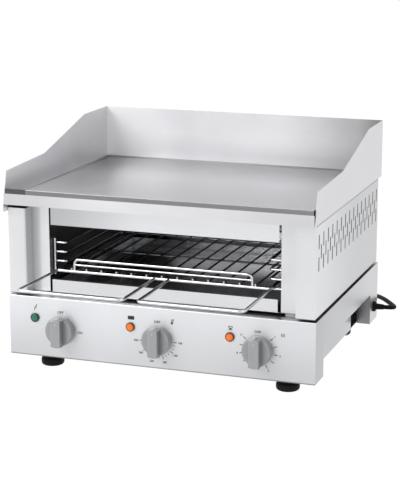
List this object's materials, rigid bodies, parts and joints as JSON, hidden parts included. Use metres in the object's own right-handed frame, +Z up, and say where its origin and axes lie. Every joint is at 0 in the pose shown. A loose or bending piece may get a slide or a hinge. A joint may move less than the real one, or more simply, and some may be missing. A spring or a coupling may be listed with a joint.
{
  "type": "griddle toaster",
  "caption": "Countertop griddle with a splash guard over an open-fronted toasting chamber with a pull-out wire rack, crumb tray and a base with control knobs.",
  "frame": {"origin": "middle of the appliance at the soles of its feet, midway between the rack handles' front and the hood's rear, measured without the free cord", "axes": "+X to the right as seen from the front, +Y to the back, +Z up; the controls face -Y"},
  "size_m": [0.5693, 0.6991, 0.3843],
  "materials": {
    "panel_steel": "fine brushed",
    "post_steel": "fine brushed",
    "fascia_steel": "satin, bright",
    "guard_steel": "satin",
    "plate_steel": "ground and polished",
    "header_steel": "fine brushed",
    "case_steel": "fine brushed",
    "liner_steel": "satin",
    "pan_steel": "satin",
    "tray_steel": "satin",
    "grease_steel": "satin, dark",
    "wire_steel": "bright wire",
    "bracket_steel": "mill finish",
    "screw_steel": "zinc plated",
    "shaft_steel": "turned",
    "element_alloy": "heat darkened",
    "knob_grey": "satin grey",
    "device_black": "moulded",
    "terminal_white": "moulded",
    "ring_black": "moulded",
    "lens_green": "clear tinted",
    "lens_orange": "clear tinted",
    "gland_black": "moulded",
    "plug_black": "moulded",
    "foot_rubber": "matt",
    "cord_rubber": "matt"
  },
  "bodies": {
    "appliance": {"control_panel": "panel_steel", "base_side_left": "panel_steel", "base_side_right": "panel_steel", "base_rear_panel": "panel_steel", "base_floor": "bracket_steel", "base_deck": "bracket_steel", "foot_front_left": "foot_rubber", "foot_front_right": "foot_rubber", "foot_rear_left": "foot_rubber", "foot_rear_right": "foot_rubber", "case_spacers": "bracket_steel", "chamber_liner": "liner_steel", "case_post_left": "post_steel", "case_post_right": "post_steel", "case_side_left": "case_steel", "case_side_right": "case_steel", "case_rear_panel": "case_steel", "chamber_rear_wall": "liner_steel", "heat_reflector": "liner_steel", "header_panel": "header_steel", "hood_pan": "pan_steel", "hood_fascia": "fascia_steel", "splash_guard_left": "guard_steel", "splash_guard_right": "guard_steel", "splash_guard_rear": "guard_steel", "griddle_plate": "plate_steel", "griddle_element_front": "element_alloy", "griddle_element_rear": "element_alloy", "element_clamps": "bracket_steel", "toast_element_left": "element_alloy", "toast_element_centre": "element_alloy", "toast_element_right": "element_alloy", "element_guard": "wire_steel", "rack_guide_left": "wire_steel", "rack_guide_right": "wire_steel", "power_lamp": "lens_green", "griddle_lamp": "lens_orange", "toast_lamp": "lens_orange", "power_switch": "device_black", "griddle_thermostat": "device_black", "toast_timer": "device_black", "lamp_rings": "ring_black", "terminal_block": "terminal_white", "rear_screws": "screw_steel", "cable_gland": "gland_black", "cord_lead": "cord_rubber", "cord_coil": "cord_rubber", "plug": "plug_black"},
    "power_knob": {"power_knob": "knob_grey", "power_shaft": "shaft_steel"},
    "griddle_knob": {"griddle_knob": "knob_grey", "griddle_shaft": "shaft_steel"},
    "toast_knob": {"toast_knob": "knob_grey", "toast_shaft": "shaft_steel"},
    "rack": {"toast_rack": "wire_steel", "rack_handle_left": "wire_steel", "rack_handle_right": "wire_steel", "rack_stop_rail": "wire_steel"},
    "crumb_tray": {"crumb_tray": "tray_steel"},
    "grease_tray": {"grease_tray": "grease_steel"}
  },
  "joints": [
    {"name": "power_knob_turn", "type": "hinge", "parent": "appliance", "child": "power_knob", "pos_m": [-0.171, -0.1678, 0.0745], "axis": [0, 1, 0], "range_deg": [0, 90]},
    {"name": "griddle_knob_turn", "type": "hinge", "parent": "appliance", "child": "griddle_knob", "pos_m": [0, -0.1678, 0.0745], "axis": [0, 1, 0], "range_deg": [0, 270]},
    {"name": "toast_knob_turn", "type": "hinge", "parent": "appliance", "child": "toast_knob", "pos_m": [0.171, -0.1678, 0.0745], "axis": [0, 1, 0], "range_deg": [0, 315]},
    {"name": "rack_slide", "type": "slide", "parent": "appliance", "child": "rack", "axis": [0, -1, 0], "range_m": [0, 0.25]},
    {"name": "crumb_tray_slide", "type": "slide", "parent": "appliance", "child": "crumb_tray", "axis": [0, -1, 0], "range_m": [0, 0.3]},
    {"name": "grease_tray_lift", "type": "slide", "parent": "appliance", "child": "grease_tray", "axis": [0, 0, 1], "range_m": [0, 0.06]}
  ]
}
